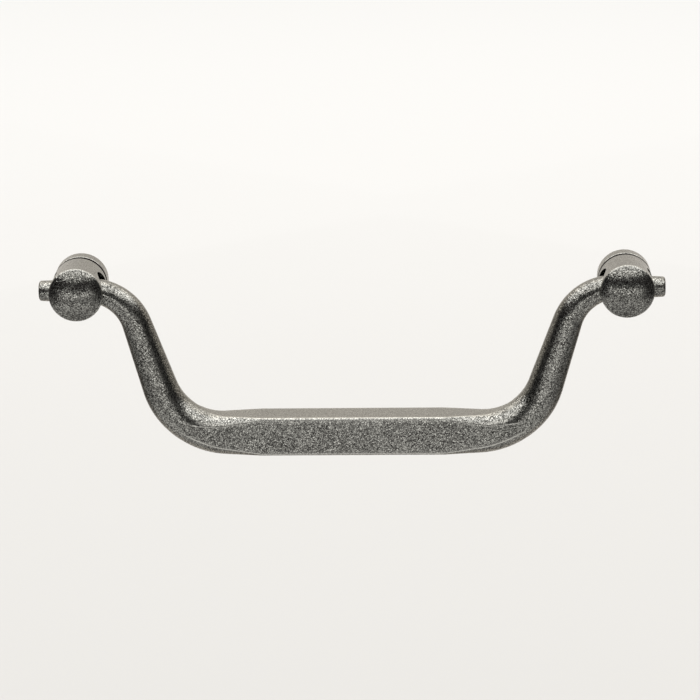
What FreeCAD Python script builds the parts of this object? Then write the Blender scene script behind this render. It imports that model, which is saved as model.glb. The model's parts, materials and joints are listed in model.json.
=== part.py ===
import FreeCAD, Part
import math
import os

from FreeCAD import Vector

# A bail pull: a swinging handle whose bent ends pass through two posts on a drawer front.
# Millimetres. +X right, +Z up, the front faces -Y. The origin lies midway between the two
# screw holes, on the drawer front.

# Fixing
hole_spacing = 128.0         # between the two screw holes, a standard drilling
screw_drill = 3.3            # tapping drill of the M4 screw
drill_point = 118.0          # included angle of the drill, degrees
screw_web = 0.5              # metal left between the screw hole and the cross hole

# Posts
post_diameter = 12.6
head_length = 10.2           # straight side of the head, behind the dome
dome_height = 2.3
rim_radius = 0.22            # rounding between the dome and the side
heel_chamfer = 0.1           # broken edge at the back of the head
spigot_diameter = 8.4        # narrower shank behind the head

# Base rings
ring_thickness = 3.45
ring_gap = 1.5               # open groove between the ring and the head
ring_clearance = 0.1         # all round, between the ring and the spigot
ring_edge_radius = 0.2       # rounding of the ring's front edge

# Bail, along its centre line from the end inwards
tip_overhang = 2.7           # how far an end stands out past its post
tip_radius = 2.37
tip_edge_radius = 0.6
rod_taper = 0.043            # radius gained for each millimetre along the rod
bend_start = 2.4             # from the post's axis inwards to the start of the upper bend
upper_bend_radius = 11.8
arm_lean = 18.0              # arms from the vertical, degrees
lower_bend_radius = 16.2
grip_drop = 34.85            # pivot axis down to the axis of the grip
grip_shoulder = 8.3          # straight stretch that still swells, between the bend and the even grip
flare_length = 19.3          # how far back from the even grip the swelling starts
grip_radius = 6.15           # round of the grip before the flats are cut
grip_height = 9.3            # across the top and bottom flats
grip_depth = 8.9             # across the front and back flats

# Fit of the bail in the posts
bail_sag = 0.2               # the bail hangs this far below the axis of the cross hole
pivot_clearance = 0.1        # least gap round the bent end as it swings

# Sections along each stretch of the rod
bend_section_count = 7
straight_section_count = 3

touch = 1e-6                 # two edges nearer than this count as the same place


# Places that follow from the sizes above
post_radius = post_diameter / 2
post_x = hole_spacing / 2
head_back = ring_thickness + ring_gap
head_front = head_back + head_length
pivot_depth = head_back + head_length / 2
pivot_z = -bail_sag
grip_z = pivot_z - grip_drop

bend_x = post_x - bend_start
pin_length = bend_start + post_radius + tip_overhang
turn = math.radians(90 - arm_lean)
arm_length = (grip_drop - (upper_bend_radius + lower_bend_radius) * (1 - math.cos(turn))) / math.sin(turn)
lower_start = upper_bend_radius * turn + arm_length
shoulder_start = lower_start + lower_bend_radius * turn
grip_start = shoulder_start + grip_shoulder
lower_centre_x = (bend_x - (upper_bend_radius + lower_bend_radius) * math.sin(turn)
                  - arm_length * math.cos(turn))
grip_half = lower_centre_x - grip_shoulder


# Radius of the rod at a distance along its centre line, measured from the start of the upper bend
def rod_radius(distance):
    plain = tip_radius + rod_taper * (pin_length + distance)
    plain_grip = tip_radius + rod_taper * (pin_length + grip_start)
    flare = max(0.0, 1 - (grip_start - distance) / flare_length)
    return plain + (grip_radius - plain_grip) * flare ** 2


# Point on the right half's centre line, and its slope down from the horizontal
def rod_point(distance):
    if distance <= upper_bend_radius * turn:
        angle = distance / upper_bend_radius
        x = bend_x - upper_bend_radius * math.sin(angle)
        drop = upper_bend_radius * (1 - math.cos(angle))
    elif distance <= lower_start:
        angle = turn
        along = distance - upper_bend_radius * turn
        x = bend_x - upper_bend_radius * math.sin(turn) - along * math.cos(turn)
        drop = upper_bend_radius * (1 - math.cos(turn)) + along * math.sin(turn)
    else:
        angle = max(0.0, (shoulder_start - distance) / lower_bend_radius)
        x = lower_centre_x + lower_bend_radius * math.sin(angle) - max(0.0, distance - shoulder_start)
        drop = grip_drop - lower_bend_radius * (1 - math.cos(angle))
    return Vector(x, -pivot_depth, pivot_z - drop), angle


# The rod already bends inside the post, so the cross hole clears the circle swept by the bend's inner side
# where it leaves the post
mouth_run = post_radius - bend_start
mouth_angle = math.asin(mouth_run / (upper_bend_radius - rod_radius(mouth_run)))
mouth_radius = rod_radius(upper_bend_radius * mouth_angle)
mouth_reach = upper_bend_radius - math.sqrt((upper_bend_radius - mouth_radius) ** 2 - mouth_run ** 2)
pivot_hole_radius = math.hypot(mouth_reach, bail_sag) + pivot_clearance


# Turned post: spigot, head and dome, cross drilled for the bail and tapped from the back
def make_post():
    spigot_radius = spigot_diameter / 2
    outline = [
        Vector(0, 0, 0),
        Vector(spigot_radius, 0, 0),
        Vector(spigot_radius, -head_back, 0),
        Vector(post_radius - heel_chamfer, -head_back, 0),
        Vector(post_radius, -head_back - heel_chamfer, 0),
        Vector(post_radius, -head_front, 0),
    ]
    edges = [Part.LineSegment(a, b).toShape() for a, b in zip(outline, outline[1:])]
    crown = Vector(0, -head_front - dome_height, 0)
    sphere_radius = (post_radius ** 2 + dome_height ** 2) / (2 * dome_height)
    half_angle = math.asin(post_radius / sphere_radius) / 2
    sphere_y = crown.y + sphere_radius
    between = Vector(sphere_radius * math.sin(half_angle), sphere_y - sphere_radius * math.cos(half_angle), 0)
    edges.append(Part.Arc(outline[-1], between, crown).toShape())
    edges.append(Part.LineSegment(crown, outline[0]).toShape())
    post = Part.Face(Part.Wire(edges)).revolve(Vector(0, 0, 0), Vector(0, 1, 0), 360)
    solid = Part.Solid(post.Shells[0])
    if solid.Volume < 0:
        solid.reverse()
    rim = [edge for edge in solid.Edges if is_rim(edge)]
    solid = solid.makeFillet(rim_radius, rim)

    point_height = screw_drill / 2 / math.tan(math.radians(drill_point / 2))
    screw_depth = pivot_depth - pivot_hole_radius - screw_web - point_height
    drill = Part.makeCylinder(screw_drill / 2, screw_depth, Vector(0, 0, 0), Vector(0, -1, 0))
    point = Part.makeCone(screw_drill / 2, 0, point_height, Vector(0, -screw_depth, 0), Vector(0, -1, 0))
    cross_hole = Part.makeCylinder(pivot_hole_radius, 2 * post_diameter,
                                   Vector(-post_diameter, -pivot_depth, 0), Vector(1, 0, 0))
    return solid.cut(drill.fuse(point)).cut(cross_hole)


# The circle where the dome meets the side of the head
def is_rim(edge):
    box = edge.BoundBox
    level = abs(box.YMin + head_front) < touch and box.YLength < touch
    return level and abs(box.XLength - post_diameter) < touch


# Plain ring round the spigot, its back on the drawer front and its front edge rounded
def make_ring():
    bore_radius = spigot_diameter / 2 + ring_clearance
    body = Part.makeCylinder(post_radius, ring_thickness, Vector(0, 0, 0), Vector(0, -1, 0))
    front = [edge for edge in body.Edges if edge.BoundBox.YMax < -ring_thickness + touch]
    body = body.makeFillet(ring_edge_radius, front)
    bore = Part.makeCylinder(bore_radius, ring_thickness, Vector(0, 0, 0), Vector(0, -1, 0))
    return body.cut(bore)


# Straight tapered end of the bail, turned about the pivot axis, with a rounded outer edge
def make_pin():
    end_x = post_x + post_radius + tip_overhang
    corner = math.sin(math.radians(45)) * tip_edge_radius
    root_radius = rod_radius(0.0)
    shoulder_radius = rod_radius(tip_edge_radius - pin_length)
    start = Vector(end_x - tip_edge_radius, 0, shoulder_radius)
    finish = Vector(end_x, 0, shoulder_radius - tip_edge_radius)
    middle = Vector(start.x + corner, 0, finish.z + corner)
    edges = [
        Part.LineSegment(Vector(bend_x, 0, 0), Vector(bend_x, 0, root_radius)).toShape(),
        Part.LineSegment(Vector(bend_x, 0, root_radius), start).toShape(),
        Part.Arc(start, middle, finish).toShape(),
        Part.LineSegment(finish, Vector(end_x, 0, 0)).toShape(),
        Part.LineSegment(Vector(end_x, 0, 0), Vector(bend_x, 0, 0)).toShape(),
    ]
    pin = Part.Face(Part.Wire(edges)).revolve(Vector(0, 0, 0), Vector(1, 0, 0), 360)
    solid = Part.Solid(pin.Shells[0])
    if solid.Volume < 0:
        solid.reverse()
    solid.translate(Vector(0, -pivot_depth, pivot_z))
    return solid


# Round arm of the right half, through both bends to the start of the even grip
def make_arm():
    stretches = [
        (0.0, upper_bend_radius * turn, bend_section_count),
        (upper_bend_radius * turn, lower_start, straight_section_count),
        (lower_start, shoulder_start, bend_section_count),
        (shoulder_start, grip_start, straight_section_count),
    ]
    stations = [0.0]
    for start, end, count in stretches:
        for step in range(1, count + 1):
            stations.append(start + (end - start) * step / count)
    sections = []
    for distance in stations:
        centre, slope = rod_point(distance)
        ring = Part.makeCircle(rod_radius(distance), Vector(0, 0, 0), Vector(-1, 0, 0))
        ring.rotate(Vector(0, 0, 0), Vector(0, 1, 0), -math.degrees(slope))
        ring.translate(centre)
        sections.append(Part.Wire(ring))
    return Part.makeLoft(sections, True, False)


# Point on a curve that runs beside the centre line of the lower bend, at an angle up from its lowest point
def beside_bend(radius, angle):
    return Vector(lower_centre_x + radius * math.sin(angle), 0,
                  grip_z + lower_bend_radius - radius * math.cos(angle))


# The point mirrored to the left half
def to_left(point):
    return Vector(-point.x, point.y, point.z)


# Block that planes one flat of the grip, inside or outside the U, and follows the bends at its ends
def make_flat_cutter(offset):
    radius = lower_bend_radius - offset
    foot = beside_bend(radius, 0)
    half_way = beside_bend(radius, turn / 2)
    end = beside_bend(radius, turn)
    edges = [
        Part.Arc(to_left(end), to_left(half_way), to_left(foot)).toShape(),
        Part.LineSegment(to_left(foot), foot).toShape(),
        Part.Arc(foot, half_way, end).toShape(),
    ]
    if offset > 0:
        edges.append(Part.LineSegment(end, to_left(end)).toShape())
    else:
        below = Vector(end.x, 0, foot.z - grip_radius)
        edges.append(Part.LineSegment(end, below).toShape())
        edges.append(Part.LineSegment(below, to_left(below)).toShape())
        edges.append(Part.LineSegment(to_left(below), to_left(end)).toShape())
    face = Part.Face(Part.Wire(edges))
    face.translate(Vector(0, -pivot_depth - 2 * grip_radius, 0))
    return face.extrude(Vector(0, 4 * grip_radius, 0))


# Block that planes the front or the back flat, across the whole width of the bail
def make_face_cutter(side):
    width = 2 * bend_x
    height = 4 * grip_radius
    plane_y = -pivot_depth + side * grip_depth / 2
    low_y = min(plane_y, plane_y + side * grip_radius)
    return Part.makeBox(width, grip_radius, height, Vector(-width / 2, low_y, grip_z - height / 2))


# Bail: two bent ends and an even grip, planed flat on four sides so that the flats end in leaf shapes
def make_bail():
    half = make_arm().fuse(make_pin())
    grip = Part.makeCylinder(grip_radius, 2 * grip_half,
                             Vector(-grip_half, -pivot_depth, grip_z), Vector(1, 0, 0))
    rod = grip.multiFuse([half, half.mirror(Vector(0, 0, 0), Vector(1, 0, 0))])
    cutters = [make_flat_cutter(grip_height / 2), make_flat_cutter(-grip_height / 2)]
    cutters += [make_face_cutter(-1), make_face_cutter(1)]
    return rod.cut(cutters).removeSplitter()


# One solid under one name, checked before it is written
def save(name, shape):
    solids = shape.Solids
    if len(solids) != 1 or not solids[0].isValid():
        raise ValueError(name + " is not one sound solid")
    solids[0].exportStep("parts/" + name + ".step")
    print(name, "volume", round(solids[0].Volume, 1))


os.makedirs("parts", exist_ok=True)
for side, sign in (("left", -1), ("right", 1)):
    place = Vector(sign * post_x, 0, 0)
    post = make_post()
    post.translate(place)
    save(side + "_post", post)
    ring = make_ring()
    ring.translate(place)
    save(side + "_base_ring", ring)
save("bail", make_bail())
print("arm", round(arm_length, 2), "grip half", round(grip_half, 2))
print("cross hole radius", round(pivot_hole_radius, 3), "pivot", round(pivot_depth, 3), round(pivot_z, 3))
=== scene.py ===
import json
import math

import bmesh
import bpy
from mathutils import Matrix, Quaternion, Vector, noise


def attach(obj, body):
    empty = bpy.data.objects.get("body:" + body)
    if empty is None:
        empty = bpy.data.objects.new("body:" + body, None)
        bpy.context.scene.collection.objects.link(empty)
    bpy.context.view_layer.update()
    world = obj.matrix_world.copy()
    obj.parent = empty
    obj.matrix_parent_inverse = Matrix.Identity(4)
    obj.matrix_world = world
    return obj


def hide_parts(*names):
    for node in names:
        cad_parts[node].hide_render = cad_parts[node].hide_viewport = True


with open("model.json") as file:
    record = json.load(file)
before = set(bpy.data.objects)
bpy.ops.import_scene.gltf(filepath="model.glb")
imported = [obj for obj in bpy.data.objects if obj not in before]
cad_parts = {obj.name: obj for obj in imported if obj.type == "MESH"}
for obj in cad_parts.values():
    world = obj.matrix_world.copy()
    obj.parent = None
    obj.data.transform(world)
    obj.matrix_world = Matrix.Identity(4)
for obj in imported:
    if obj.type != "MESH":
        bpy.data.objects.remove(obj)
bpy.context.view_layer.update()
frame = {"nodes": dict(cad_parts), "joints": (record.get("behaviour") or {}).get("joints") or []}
mm = 0.001
postX = 64.0  # mm, half the screw spacing; the bail, the threads and the marks on the posts go by it
print("frame loaded:", sorted(frame["nodes"]))


# Colours are written as sRGB hex and turned into the linear values the sockets take
def linearColour(hexText):
    parts = [int(hexText[i:i + 2], 16) / 255 for i in (1, 3, 5)]
    return tuple(p / 12.92 if p <= 0.04045 else ((p + 0.055) / 1.055) ** 2.4 for p in parts) + (1.0,)


# Adds a node. An input given as an output socket is linked, anything else is set,
# and stops are the (place, grey) pairs of a colour ramp, which starts with one stop at each end.
def addNode(tree, kind, settings=None, inputs=None, stops=()):
    node = tree.nodes.new(kind)
    for key, value in (settings or {}).items():
        setattr(node, key, value)
    for key, value in (inputs or {}).items():
        if isinstance(value, bpy.types.NodeSocket):
            tree.links.new(value, node.inputs[key])
        else:
            node.inputs[key].default_value = value
    for index, (place, grey) in enumerate(stops):
        if index == 0:
            stop = node.color_ramp.elements[0]
        elif index == len(stops) - 1:
            stop = node.color_ramp.elements[-1]
        else:
            stop = node.color_ramp.elements.new(place)
        stop.position = place
        stop.color = (grey, grey, grey, 1.0)
    return node


def emptyMaterial(name):
    material = bpy.data.materials.new(name)
    material.use_nodes = True
    material.node_tree.nodes.clear()
    return material, material.node_tree


def smoothStep(low, high, value):
    t = min(1.0, max(0.0, (value - low) / (high - low)))
    return t * t * (3 - 2 * t)


# Cast iron that was tumbled, plated dark and lacquered: a grey metal whose grain catches single points
# of light, open on the front and closed on the sides, paler where edges are rubbed, with painted shade in
# recesses.
# The real grain is near 0.1 mm; it is drawn coarser so that it shows.
ironLook = {
    "grainMm": 0.17,
    "grainPower": 1.7,           # above 1 only few grains are bright
    "darkHex": "#23221f",
    "brightHex": "#d8d6cd",
    "tilt": 0.16,                # how far a grain leans out of the surface
    "frontSlant": (0.05, 0.6),   # how squarely a face looks to the front or back, closed to open grain
    "sideCalm": 0.65,            # how far the grain is closed on the sides
    "sideTone": 0.37,            # tone of the closed grain, between dark and bright
    "cloudMm": 7.0,
    "cloudDetail": 3.0,
    "cloudBreakup": 0.55,
    "cloudRange": (0.3, 0.7),    # the part of the noise that the next two are spread over
    "cloudTone": (0.9, 1.05),
    "cloudRoughness": (0.14, 0.22),
    "rubbedHex": "#e8e5dc",
    "rubbedLeast": 0.6,          # share of the rub that the lowest grains take
    # colour of the painted shade in the recesses, a near black
    "recessShadeHex": "#191918",
}


# marks is a function that gives the sockets of what is rubbed, turned, or sunk and darkened with painted
# shade on this piece
def tumbledIron(name, look, marks):
    material, tree = emptyMaterial(name)
    place = addNode(tree, "ShaderNodeTexCoord")
    coords = place.outputs["Object"]
    marked = marks(tree, coords)
    grain = addNode(tree, "ShaderNodeTexVoronoi", {"feature": "F1"}, {
        "Vector": coords, "Scale": 1 / (look["grainMm"] * mm)})
    cell = addNode(tree, "ShaderNodeSeparateColor", inputs={"Color": grain.outputs["Color"]})
    cloud = addNode(tree, "ShaderNodeTexNoise", inputs={
        "Vector": coords, "Scale": 1 / (look["cloudMm"] * mm),
        "Detail": look["cloudDetail"], "Roughness": look["cloudBreakup"]})
    clouded = {}
    for effect in ("cloudTone", "cloudRoughness"):
        clouded[effect] = addNode(tree, "ShaderNodeMapRange", inputs={
            "Value": cloud.outputs["Fac"],
            "From Min": look["cloudRange"][0], "From Max": look["cloudRange"][1],
            "To Min": look[effect][0], "To Max": look[effect][1]}).outputs["Result"]

    # tone: the grain's own, evened out on the sides, then clouds and lathe rings over both
    aspect = addNode(tree, "ShaderNodeSeparateXYZ", inputs={"Vector": place.outputs["Normal"]})
    square = addNode(tree, "ShaderNodeMath", {"operation": "ABSOLUTE"}, {0: aspect.outputs["Y"]})
    calm = addNode(tree, "ShaderNodeMapRange", {"interpolation_type": "SMOOTHSTEP"}, {
        "Value": square.outputs["Value"],
        "From Min": look["frontSlant"][0], "From Max": look["frontSlant"][1],
        "To Min": look["sideCalm"], "To Max": 0.0})
    speck = addNode(tree, "ShaderNodeMath", {"operation": "POWER"}, {
        0: cell.outputs["Red"], 1: look["grainPower"]})
    tone = addNode(tree, "ShaderNodeMix", {"data_type": "FLOAT"}, {
        "Factor": calm.outputs["Result"], "A": speck.outputs["Value"],
        "B": look["sideTone"]}).outputs["Result"]
    for factor in [clouded["cloudTone"]] + marked.get("tones", []):
        tone = addNode(tree, "ShaderNodeMath", {"operation": "MULTIPLY"}, {
            0: tone, 1: factor}).outputs["Value"]
    colour = addNode(tree, "ShaderNodeMix", {"data_type": "RGBA"}, {
        "Factor": tone, "A": linearColour(look["darkHex"]),
        "B": linearColour(look["brightHex"])}).outputs["Result"]

    # rubbed edges are broken up by the grain, and recesses are darkened with painted shade
    broken = addNode(tree, "ShaderNodeMapRange", inputs={
        "Value": cell.outputs["Green"], "To Min": look["rubbedLeast"]})
    worn = addNode(tree, "ShaderNodeMath", {"operation": "MULTIPLY"}, {
        0: marked["wear"], 1: broken.outputs["Result"]})
    colour = addNode(tree, "ShaderNodeMix", {"data_type": "RGBA"}, {
        "Factor": worn.outputs["Value"], "A": colour,
        "B": linearColour(look["rubbedHex"])}).outputs["Result"]
    # painted shade: each recess is darkened towards a near black
    for recess in marked.get("recesses", []):
        colour = addNode(tree, "ShaderNodeMix", {"data_type": "RGBA"}, {
            "Factor": recess, "A": colour, "B": linearColour(look["recessShadeHex"])}).outputs["Result"]

    # each grain faces its own way, which is what makes the points of light
    middleGrey = (0.5, 0.5, 0.5)  # a cell of this colour doesn't lean
    lean = addNode(tree, "ShaderNodeVectorMath", {"operation": "SUBTRACT"}, {
        0: grain.outputs["Color"], 1: middleGrey})
    leaned = addNode(tree, "ShaderNodeVectorMath", {"operation": "SCALE"}, {
        0: lean.outputs["Vector"], "Scale": look["tilt"]})
    facing = addNode(tree, "ShaderNodeVectorMath", {"operation": "ADD"}, {
        0: addNode(tree, "ShaderNodeNewGeometry").outputs["Normal"], 1: leaned.outputs["Vector"]})
    normal = addNode(tree, "ShaderNodeVectorMath", {"operation": "NORMALIZE"}, {0: facing.outputs["Vector"]})
    shader = addNode(tree, "ShaderNodeBsdfPrincipled", inputs={
        "Base Color": colour, "Metallic": 1.0, "Roughness": clouded["cloudRoughness"],
        "Normal": normal.outputs["Vector"]})
    addNode(tree, "ShaderNodeOutputMaterial", inputs={"Surface": shader.outputs["BSDF"]})
    return material


# On the bail the mesh itself carries where the edges are rubbed
def bailMarks(tree, coords):
    return {"wear": addNode(tree, "ShaderNodeAttribute", {"attribute_name": "edgeWear"}).outputs["Fac"]}


# On the posts and rings: a rubbed rim round the dome and the ring's front edge, painted shade in the groove
# between head and ring, and on the dome the fine rings and the centre pip that the lathe left. A Radius is
# in mm from the post's axis, the other pairs are in mm from the back; each mark comes up from the first size
# to the second.
postMarkForm = {
    "rimRadius": (5.9, 6.15),
    "rimDepth": (14.9, 15.1),
    "ringEdge": (3.1, 3.3),
    "ringEnd": (3.85, 3.65),
    "grooveStart": (3.35, 3.45),
    "grooveEnd": (5.1, 5.0),
    "grooveRadius": (6.2, 6.05),
    # strength of the painted shade in the groove between head and ring
    "grooveShade": 1.0,
    "domeDepth": (15.1, 15.3),
    "turningMm": 0.5,            # feed of the lathe, drawn coarser than it is
    "turningTone": 0.2,
    "pipRadius": (0.34, 0.2),
    "pipRub": 1.0,
    "edgeRub": 0.35,
    "tone": 0.86,                # the turned pieces are a little darker than the bail
}


def postMarks(tree, coords):
    form = postMarkForm
    spot = addNode(tree, "ShaderNodeVectorMath", {"operation": "ABSOLUTE"}, {0: coords})
    moved = addNode(tree, "ShaderNodeVectorMath", {"operation": "SUBTRACT"}, {
        0: spot.outputs["Vector"], 1: (postX * mm, 0, 0)})
    across = addNode(tree, "ShaderNodeVectorMath", {"operation": "MULTIPLY"}, {
        0: moved.outputs["Vector"], 1: (1, 0, 1)})
    radius = addNode(tree, "ShaderNodeVectorMath", {"operation": "LENGTH"}, {0: across.outputs["Vector"]})
    depth = addNode(tree, "ShaderNodeSeparateXYZ", inputs={"Vector": spot.outputs["Vector"]})
    limits = {}
    for limit in ("rimRadius", "rimDepth", "ringEdge", "ringEnd", "grooveStart", "grooveEnd", "grooveRadius",
                  "domeDepth", "pipRadius"):
        measure = radius.outputs["Value"] if limit.endswith("Radius") else depth.outputs["Y"]
        limits[limit] = addNode(tree, "ShaderNodeMapRange", {"interpolation_type": "SMOOTHSTEP"}, {
            "Value": measure, "From Min": form[limit][0] * mm,
            "From Max": form[limit][1] * mm}).outputs["Result"]
    # a mark shows where all its limits hold, at its own strength
    marks = {}
    for mark, strength, held in (
            ("rim", form["edgeRub"], ("rimRadius", "rimDepth")),
            ("ring", form["edgeRub"], ("rimRadius", "ringEdge", "ringEnd")),
            ("pip", form["pipRub"], ("pipRadius", "domeDepth")),
            ("groove", form["grooveShade"], ("grooveStart", "grooveEnd", "grooveRadius")),
            ("turning", form["turningTone"], ("domeDepth",))):
        marks[mark] = strength
        for limit in held:
            marks[mark] = addNode(tree, "ShaderNodeMath", {"operation": "MULTIPLY"}, {
                0: marks[mark], 1: limits[limit]}).outputs["Value"]
    wear = marks["rim"]
    for mark in ("ring", "pip"):
        wear = addNode(tree, "ShaderNodeMath", {"operation": "ADD"}, {
            0: wear, 1: marks[mark]}).outputs["Value"]
    phase = addNode(tree, "ShaderNodeMath", {"operation": "MULTIPLY"}, {
        0: radius.outputs["Value"], 1: 2 * math.pi / (form["turningMm"] * mm)})
    wave = addNode(tree, "ShaderNodeMath", {"operation": "SINE"}, {0: phase.outputs["Value"]})
    turned = addNode(tree, "ShaderNodeMath", {"operation": "MULTIPLY_ADD"}, {
        0: wave.outputs["Value"], 1: marks["turning"], 2: form["tone"]})
    # the groove's mark goes out as painted shade over the colour
    return {"wear": wear, "recesses": [marks["groove"]], "tones": [turned.outputs["Value"]]}


# The bail: sizes in mm, along the rod from its loose end; the two halves mirror each other
bailForm = {
    "tipEnd": 73.0,              # from the middle of the pull
    "tipRadius": 2.37,
    "tipRound": 0.6,
    "taper": 0.043,              # growth of the radius per mm of rod
    "bendStart": 2.4,            # from the post's axis
    "upperBend": 11.8,
    "lean": 18.0,                # degrees of the arms from upright
    "lowerBend": 16.2,
    "drop": 34.85,
    "shoulder": 8.3,
    "flare": 19.3,               # length over which the rod swells to the grip
    "gripRadius": 6.15,
    "flatHeight": 9.3,           # between the top and bottom flats
    "flatDepth": 8.9,            # between the front and back flats
    "leafLean": 20.0,            # degrees that the front and back flats lean down at their leaf points
    "leafLeanEnd": 10.5,         # from the leaf point to where they are upright
    "edgeSharpness": 90,         # power that joins the rod and its flats, higher is sharper
    "edgeBand": 0.2,             # half width of the close mesh lines at an edge
    "edgeShare": (0.4, 0.8),     # the most of the round and of the flat that this band may take
    "rubWidth": 0.16,
    "rubFrom": (0.2, 0.42),      # half angle of a flat where its rubbed line begins and is full, in radians
    "upperRub": 0.65,            # hands and cloths reach the lower edges more
    "waver": 0.03,
    "waverMm": 9.0,
    "lineSpread": (0.05, 0.38),  # half angle of a flat's mesh lines at its leaf point and what it gains,
    "lineSpreadMm": 7.0,         # in radians, over this length before the point
    "quarterLines": (5, 4, 4, 4, 5),           # front flat, its edge, round, top flat's edge, top flat
    "tipSteps": 6,
    "rodSteps": (10, 26, 16, 44, 22, 16),      # end, upper bend, arm, lower bend, shoulder, half the grip
}


# Rings of the bail's skin from one tip to the other; each point has its place and how far it is rubbed
def bailRings(form):
    pivot = [c / mm for c in frame["joints"][0]["pos_m"]]
    bendX = postX - form["bendStart"]
    pinLength = form["tipEnd"] - bendX
    turn = math.radians(90 - form["lean"])
    bends = form["upperBend"] + form["lowerBend"]
    arm = (form["drop"] - bends * (1 - math.cos(turn))) / math.sin(turn)
    armStart = form["upperBend"] * turn
    lowerStart = armStart + arm
    shoulderStart = lowerStart + form["lowerBend"] * turn
    gripStart = shoulderStart + form["shoulder"]
    lowerX = bendX - bends * math.sin(turn) - arm * math.cos(turn)
    gripHalf = lowerX - form["shoulder"]
    halfDepth = form["flatDepth"] / 2
    halfHeight = form["flatHeight"] / 2

    def plainRadius(distance):
        return form["tipRadius"] + form["taper"] * (pinLength + distance)

    def rodRadius(distance):
        flare = max(0.0, 1 - max(0.0, gripStart - distance) / form["flare"])
        near = min(distance, gripStart)
        return plainRadius(near) + (form["gripRadius"] - plainRadius(gripStart)) * flare ** 2

    # centre line of the right half: x, z and the slope in radians
    def rodPoint(distance):
        x = bendX
        z = pivot[2]
        if distance <= 0:
            return x - distance, z, 0.0
        part = min(distance, armStart) / form["upperBend"]
        x -= form["upperBend"] * math.sin(part)
        z -= form["upperBend"] * (1 - math.cos(part))
        if distance <= armStart:
            return x, z, part
        part = min(distance - armStart, arm)
        x -= part * math.cos(turn)
        z -= part * math.sin(turn)
        if distance <= lowerStart:
            return x, z, turn
        part = turn - min(distance - lowerStart, shoulderStart - lowerStart) / form["lowerBend"]
        x -= form["lowerBend"] * (math.sin(turn) - math.sin(part))
        z -= form["lowerBend"] * (math.cos(part) - math.cos(turn))
        return x - max(0.0, distance - shoulderStart), z, part

    # where the rod has grown as far as a flat, found by halving
    def leafPoint(half):
        halvings = 40
        low, high = 0.0, gripStart
        for step in range(halvings):
            middle = (low + high) / 2
            low, high = (middle, high) if rodRadius(middle) < half else (low, middle)
        return low

    leafFront = leafPoint(halfDepth)
    leafTop = leafPoint(halfHeight)

    # half angle of a flat; before its point only the spacing of the mesh lines
    def flatAngle(distance, radius, half, leaf):
        least, gain = form["lineSpread"]
        spread = least + gain * smoothStep(0, form["lineSpreadMm"], leaf - distance)
        return max(spread, math.acos(half / radius) if radius > half else 0.0)

    def flatLean(distance):
        level = smoothStep(leafFront, leafFront + form["leafLeanEnd"], distance)
        return -math.radians(form["leafLean"]) * (1 - level)

    # angles of one quarter, from the front flat's middle to the top flat's, close together at the edges
    def quarter(distance, radius, start):
        front = start + flatAngle(distance, radius, halfDepth, leafFront)
        top = math.pi / 2 - flatAngle(distance, radius, halfHeight, leafTop)
        roundShare, flatShare = form["edgeShare"]
        band = min(form["edgeBand"] / radius, (top - front) * roundShare, (front - start) * flatShare)
        limits = (start, front - band, front + band, top - band, top + band, math.pi / 2)
        angles = []
        for low, high, count in zip(limits, limits[1:], form["quarterLines"]):
            angles += [low + (high - low) * i / count for i in range(count)]
        return angles, front, top

    # distance of the skin from the centre line: the rod or a flat, whichever is nearer
    def skinReach(angle, radius, lean):
        power = form["edgeSharpness"]
        across = abs(math.cos(angle)) * math.cos(lean) + math.sin(angle) * math.sin(lean)
        reach = (1 / radius) ** power
        reach += (max(across, 0.0) / halfDepth) ** power
        reach += (abs(math.sin(angle)) / halfHeight) ** power
        return reach ** (-1 / power)

    def edgeWear(angle, radius, front, top):
        wear = 0.0
        for crease, half in ((front, halfDepth), (top, halfHeight)):
            if radius > half:
                gap = (angle - crease) * radius / form["rubWidth"]
                sharp = smoothStep(*form["rubFrom"], math.acos(half / radius))
                wear = max(wear, sharp * math.exp(-gap * gap))
        return wear

    # one ring, its upper half and then its lower: how far forward and up each point lies, and its wear
    def section(distance, inset):
        radius = rodRadius(distance)
        lean = flatLean(distance)
        rows = []
        for base, start, rub in ((0.0, lean, form["upperRub"]), (math.pi, -lean, 1.0)):
            angles, front, top = quarter(distance, radius, start)
            turned = [(base + a, a) for a in angles]
            turned += [(base + math.pi - a, a) for a in [math.pi / 2] + angles[:0:-1]]
            for angle, inQuarter in turned:
                reach = skinReach(angle, radius, lean) - inset
                wear = edgeWear(inQuarter, radius, front, top) * rub
                rows.append((reach * math.cos(angle), reach * math.sin(angle), wear))
        return rows

    # stations along the right half: distance, and how far the skin is drawn in to round the tip
    tipRound = form["tipRound"]
    stations = []
    for i in range(form["tipSteps"] + 1):
        a = math.pi / 2 * i / form["tipSteps"]
        stations.append((-pinLength + tipRound * (1 - math.cos(a)), tipRound * (1 - math.sin(a))))
    stretches = (-pinLength + tipRound, 0, armStart, lowerStart, shoulderStart, gripStart,
                 gripStart + gripHalf)
    for start, end, count in zip(stretches, stretches[1:], form["rodSteps"]):
        stations += [(start + (end - start) * i / count, 0.0) for i in range(1, count + 1)]

    rings = []
    halves = [(1, station) for station in stations] + [(-1, station) for station in stations[-2::-1]]
    for side, (distance, inset) in halves:
        x, z, slope = rodPoint(distance)
        middle = Vector((side * x, pivot[1], z))
        ring = []
        for forward, upward, wear in section(distance, inset):
            spot = Vector((side * (x - upward * math.sin(slope)), pivot[1] - forward,
                           z + upward * math.cos(slope)))
            dent = form["waver"] * (0.5 + 0.5 * noise.noise(spot / form["waverMm"]))  # noise is -1 to 1
            spot += (middle - spot).normalized() * dent
            ring.append((spot * mm, wear))
        rings.append(ring)
    return rings


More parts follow.
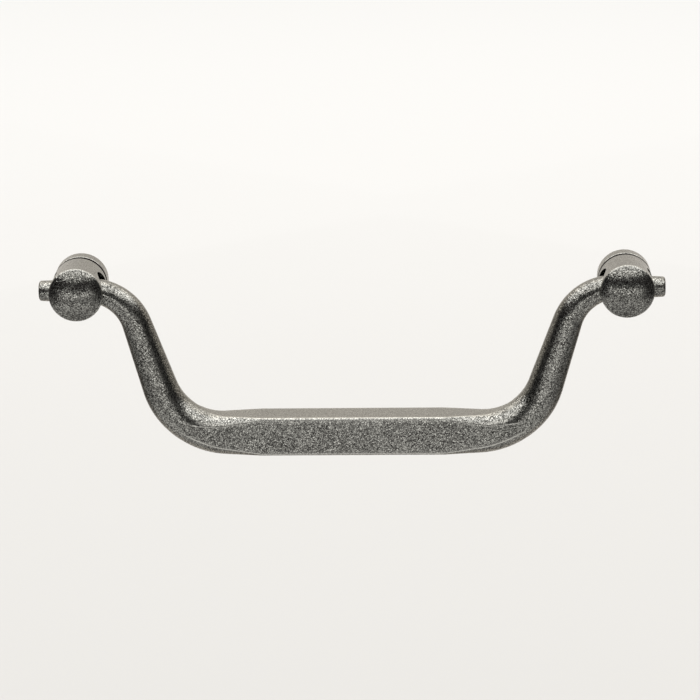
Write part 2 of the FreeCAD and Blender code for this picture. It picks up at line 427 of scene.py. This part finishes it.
def makeBail(form, material):
    rings = bailRings(form)
    vertices = [spot for ring in rings for spot, wear in ring]
    wears = [wear for ring in rings for spot, wear in ring]
    faces = []
    count = len(rings[0])
    for r in range(len(rings) - 1):
        for i in range(count):
            j = (i + 1) % count
            faces.append((r * count + i, r * count + j, (r + 1) * count + j, (r + 1) * count + i))
    # a fan closes each tip
    for start, order in ((0, 1), ((len(rings) - 1) * count, -1)):
        vertices.append(sum(vertices[start:start + count], Vector()) / count)
        wears.append(0.0)
        for i in range(count):
            face = (start + (i + 1) % count, start + i, len(vertices) - 1)
            faces.append(face[::order])
    mesh = bpy.data.meshes.new("bailRod")
    mesh.from_pydata(vertices, [], faces)
    mesh.polygons.foreach_set("use_smooth", [True] * len(faces))
    mesh.attributes.new("edgeWear", "FLOAT", "POINT").data.foreach_set("value", wears)
    mesh.materials.append(material)
    mesh.validate()
    piece = bpy.data.objects.new("bailRod", mesh)
    bpy.context.collection.objects.link(piece)
    return piece


bailIron = tumbledIron("castIronTumbledBail", ironLook, bailMarks)
postIron = tumbledIron("castIronTumbledPost", ironLook, postMarks)

bail = makeBail(bailForm, bailIron)
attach(bail, "bail")
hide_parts("bail")
print("bail built:", len(bail.data.polygons), "faces")

# Thread of the tapped holes in the back: its crests stand in from the drilled wall,
# where the solid has a plain bore
threadForm = {
    "drillMm": 3.3,
    "pitchMm": 0.7,
    "crestMm": 0.2,
    "footMm": 0.01,              # how far the ridge goes into the wall
    "footShare": 0.3,            # half the ridge's width, as a share of the pitch
    "depthMm": 3.9,
    "steps": 40,                 # in one turn
    "runOutSteps": 12,           # over which the ridge runs out at both ends
}


def makeThread(name, x, form, material):
    count = int(form["depthMm"] / form["pitchMm"] * form["steps"])
    wall = form["drillMm"] / 2
    foot = wall + form["footMm"]
    halfWidth = form["footShare"] * form["pitchMm"]
    vertices, faces = [], []
    for i in range(count + 1):
        angle = 2 * math.pi * i / form["steps"]
        depth = form["pitchMm"] * i / form["steps"]
        run = min(1.0, i / form["runOutSteps"], (count - i) / form["runOutSteps"])
        crest = wall - form["crestMm"] * run
        for reach, along in ((foot, 0.0), (crest, halfWidth), (foot, 2 * halfWidth)):
            spot = Vector((x + reach * math.cos(angle), -depth - along, reach * math.sin(angle)))
            vertices.append(spot * mm)
    for i in range(count):
        for k in range(3):
            after = (k + 1) % 3
            faces.append((3 * i + k, 3 * i + after, 3 * i + 3 + after, 3 * i + 3 + k))
    faces += [(0, 1, 2), (3 * count + 2, 3 * count + 1, 3 * count)]
    mesh = bpy.data.meshes.new(name)
    mesh.from_pydata(vertices, [], faces)
    shell = bmesh.new()
    shell.from_mesh(mesh)
    bmesh.ops.recalc_face_normals(shell, faces=shell.faces)
    shell.to_mesh(mesh)
    shell.free()
    mesh.materials.append(material)
    piece = bpy.data.objects.new(name, mesh)
    bpy.context.collection.objects.link(piece)
    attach(piece, "posts")


for side, label in ((-1, "left"), (1, "right")):
    makeThread(label + "Thread", side * postX, threadForm, postIron)
print("threads built")

for nodeName in ("left_post", "right_post", "left_base_ring", "right_base_ring"):
    node = frame["nodes"][nodeName]
    for holder in node.material_slots:
        holder.material = postIron
print("posts and rings finished")

# Room, by direction: in front and at the sides dim from the horizon to about 30 degrees up, bright above
# that and brightest overhead, lighter again low down and behind; to the eye it is plain and pale.
# Each profile is (height of the direction, light).
roomLook = {
    "front": ((-1, 0.44), (-0.75, 0.7), (-0.5, 0.7), (-0.32, 0.22), (-0.2, 1.2), (-0.1, 1.34), (-0.03, 0.52),
              (0.06, 0.2), (0.25, 0.12), (0.5, 0.11), (0.57, 1.2), (0.66, 1.5), (0.8, 1.4), (0.9, 0.7),
              (1, 2.0)),
    "side": ((-1, 0.45), (-0.62, 0.46), (-0.48, 0.3), (-0.38, 0.15), (-0.28, 0.07), (0.48, 0.06),
             (0.58, 0.95), (0.8, 0.9), (1, 2.0)),
    "back": ((-1, 0.54), (-0.6, 0.66), (-0.3, 0.72), (0, 0.82), (0.5, 0.88), (0.8, 0.66), (1, 2.0)),
    "backSide": ((-1, 0.45), (-0.7, 0.4), (-0.5, 0.16), (-0.12, 0.16), (0.03, 0.5), (0.12, 0.56), (0.5, 0.8),
                 (1, 2.0)),
    "sideFrom": (0.55, 0.88),     # how far to the side a direction points, ahead
    "backSideFrom": (0.3, 0.65),  # and behind
    "backFrom": (-0.05, 0.4),     # how far back it points
    "rampTop": 2.0,               # the light that white in a ramp stands for
    "seenHex": "#f7f6f3",
    "backHex": "#fff9f0",
}

# The stage, in metres: a pale floor below the pull, a wide softbox overhead, and a lamp behind that lights
# the floor alone
stageForm = {
    "floorDrop": 0.16,
    "floorHalf": 6.0,
    "hazeFrom": (0.4, 2.0),
    "floorHex": "#c8c7c4",
    "cloudMm": 1000 / 3,
    "cloudDetail": 2.0,
    "cloudTone": (0.99, 1.01),
    "softboxAt": (0.0, 0.2, 0.8),
    "softboxSize": (2.4, 1.4),
    "softboxWatts": 7.4,
    "backAt": (0.0, 1.4, 0.8),
    "backSize": (2.2, 1.3),
    "backWatts": 14.0,
    "lightHex": "#fafbff",
}


# Board rolled with matt paint: an even pale ground with no gloss and hardly any cloud
def paintedFloor(form):
    material, tree = emptyMaterial("boardPaintedMatt")
    coords = addNode(tree, "ShaderNodeTexCoord").outputs["Object"]
    cloud = addNode(tree, "ShaderNodeTexNoise", inputs={
        "Vector": coords, "Scale": 1 / (form["cloudMm"] * mm), "Detail": form["cloudDetail"]})
    shade = addNode(tree, "ShaderNodeHueSaturation", inputs={
        "Color": linearColour(form["floorHex"]), "Value": addNode(tree, "ShaderNodeMapRange", inputs={
            "Value": cloud.outputs["Fac"], "To Min": form["cloudTone"][0],
            "To Max": form["cloudTone"][1]}).outputs["Result"]})
    paint = addNode(tree, "ShaderNodeBsdfDiffuse", inputs={"Color": shade.outputs["Color"]})
    # far off the floor takes the room's tone, so that no horizon shows
    haze = addNode(tree, "ShaderNodeEmission", inputs={"Color": linearColour(roomLook["seenHex"])})
    away = addNode(tree, "ShaderNodeVectorMath", {"operation": "LENGTH"}, {0: coords})
    far = addNode(tree, "ShaderNodeMapRange", {"interpolation_type": "SMOOTHSTEP"}, {
        "Value": away.outputs["Value"],
        "From Min": form["hazeFrom"][0], "From Max": form["hazeFrom"][1]})
    mixed = addNode(tree, "ShaderNodeMixShader", inputs={
        "Fac": far.outputs["Result"], 1: paint.outputs["BSDF"], 2: haze.outputs["Emission"]})
    addNode(tree, "ShaderNodeOutputMaterial", inputs={"Surface": mixed.outputs["Shader"]})
    return material


half = stageForm["floorHalf"]
floorMesh = bpy.data.meshes.new("floor")
corners = [(sx * half, sy * half, -stageForm["floorDrop"])
           for sx, sy in ((-1, -1), (1, -1), (1, 1), (-1, 1))]
floorMesh.from_pydata(corners, [], [(0, 1, 2, 3)])
floorMesh.materials.append(paintedFloor(stageForm))
floor = bpy.data.objects.new("floor", floorMesh)
floor.visible_glossy = False  # the metal mirrors the room and the softbox alone
bpy.context.collection.objects.link(floor)

for lampName in ("softbox", "back"):
    lamp = bpy.data.lights.new(lampName, "AREA")
    lamp.shape = "RECTANGLE"
    lamp.size, lamp.size_y = stageForm[lampName + "Size"]
    lamp.energy = stageForm[lampName + "Watts"]
    lamp.color = linearColour(stageForm["lightHex"])[:3]
    lampObject = bpy.data.objects.new(lampName, lamp)
    lampObject.location = stageForm[lampName + "At"]
    lampObject.visible_glossy = lampName == "softbox"
    bpy.context.collection.objects.link(lampObject)

world = bpy.data.worlds.new("room")
bpy.context.scene.world = world
world.use_nodes = True
tree = world.node_tree
tree.nodes.clear()
direction = addNode(tree, "ShaderNodeSeparateXYZ", inputs={
    "Vector": addNode(tree, "ShaderNodeTexCoord").outputs["Generated"]})
height = addNode(tree, "ShaderNodeMapRange", inputs={"Value": direction.outputs["Z"], "From Min": -1.0})
profiles = {}
for profile in ("front", "side", "back", "backSide"):
    profiles[profile] = addNode(tree, "ShaderNodeValToRGB", inputs={"Fac": height.outputs["Result"]}, stops=[
        ((z + 1) / 2, light / roomLook["rampTop"]) for z, light in roomLook[profile]]).outputs["Color"]
sideways = addNode(tree, "ShaderNodeMath", {"operation": "ABSOLUTE"}, {0: direction.outputs["X"]})
turns = {}
for turn, measure in (("sideFrom", sideways.outputs["Value"]), ("backSideFrom", sideways.outputs["Value"]),
                      ("backFrom", direction.outputs["Y"])):
    turns[turn] = addNode(tree, "ShaderNodeMapRange", {"interpolation_type": "SMOOTHSTEP"}, {
        "Value": measure, "From Min": roomLook[turn][0], "From Max": roomLook[turn][1]}).outputs["Result"]
ahead = addNode(tree, "ShaderNodeMix", {"data_type": "RGBA"}, {
    "Factor": turns["sideFrom"], "A": profiles["front"], "B": profiles["side"]})
behind = addNode(tree, "ShaderNodeMix", {"data_type": "RGBA"}, {
    "Factor": turns["backSideFrom"], "A": profiles["back"], "B": profiles["backSide"]})
warm = addNode(tree, "ShaderNodeMix", {"data_type": "RGBA", "blend_type": "MULTIPLY"}, {
    "Factor": 1.0, "A": behind.outputs["Result"], "B": linearColour(roomLook["backHex"])})
around = addNode(tree, "ShaderNodeMix", {"data_type": "RGBA"}, {
    "Factor": turns["backFrom"], "A": ahead.outputs["Result"], "B": warm.outputs["Result"]})
roomLight = addNode(tree, "ShaderNodeBackground", inputs={
    "Color": around.outputs["Result"], "Strength": roomLook["rampTop"]})
roomSeen = addNode(tree, "ShaderNodeBackground", inputs={"Color": linearColour(roomLook["seenHex"])})
both = addNode(tree, "ShaderNodeMixShader", inputs={
    "Fac": addNode(tree, "ShaderNodeLightPath").outputs["Is Camera Ray"],
    1: roomLight.outputs["Background"], 2: roomSeen.outputs["Background"]})
addNode(tree, "ShaderNodeOutputWorld", inputs={"Surface": both.outputs["Shader"]})
bpy.context.scene.view_settings.view_transform = "Standard"
print("stage set")

# Camera: read from the photo, angles in degrees, with the aim point's place in a picture 700 pixels wide
viewForm = {
    "aimMm": (0.0, -10.0, -17.0),
    "aimPixel": (352.4, 357.9),
    "azimuth": 1.38,
    "elevation": 15.92,
    "roll": -0.743,
    "distanceMm": 731.6,
    "pixelsPerMm": 4.26,
    "picture": 700,
}
focal = viewForm["pixelsPerMm"] * viewForm["distanceMm"]
azimuth = math.radians(viewForm["azimuth"])
elevation = math.radians(viewForm["elevation"])
towards = Vector((math.sin(azimuth) * math.cos(elevation), -math.cos(azimuth) * math.cos(elevation),
                  math.sin(elevation)))
pan, tilt = [math.atan((p - viewForm["picture"] / 2) / focal) for p in viewForm["aimPixel"]]
camera = bpy.data.cameras.new("camera")
camera.lens = camera.sensor_width * focal / viewForm["picture"]
cameraObject = bpy.data.objects.new("camera", camera)
cameraObject.rotation_mode = "QUATERNION"
cameraObject.location = (Vector(viewForm["aimMm"]) + towards * viewForm["distanceMm"]) * mm
cameraObject.rotation_quaternion = ((-towards).to_track_quat("-Z", "Y")
                                    @ Quaternion((0, 0, 1), math.radians(viewForm["roll"]))
                                    @ Quaternion((0, 1, 0), pan) @ Quaternion((1, 0, 0), tilt))
bpy.context.collection.objects.link(cameraObject)
bpy.context.scene.camera = cameraObject
print("camera placed")
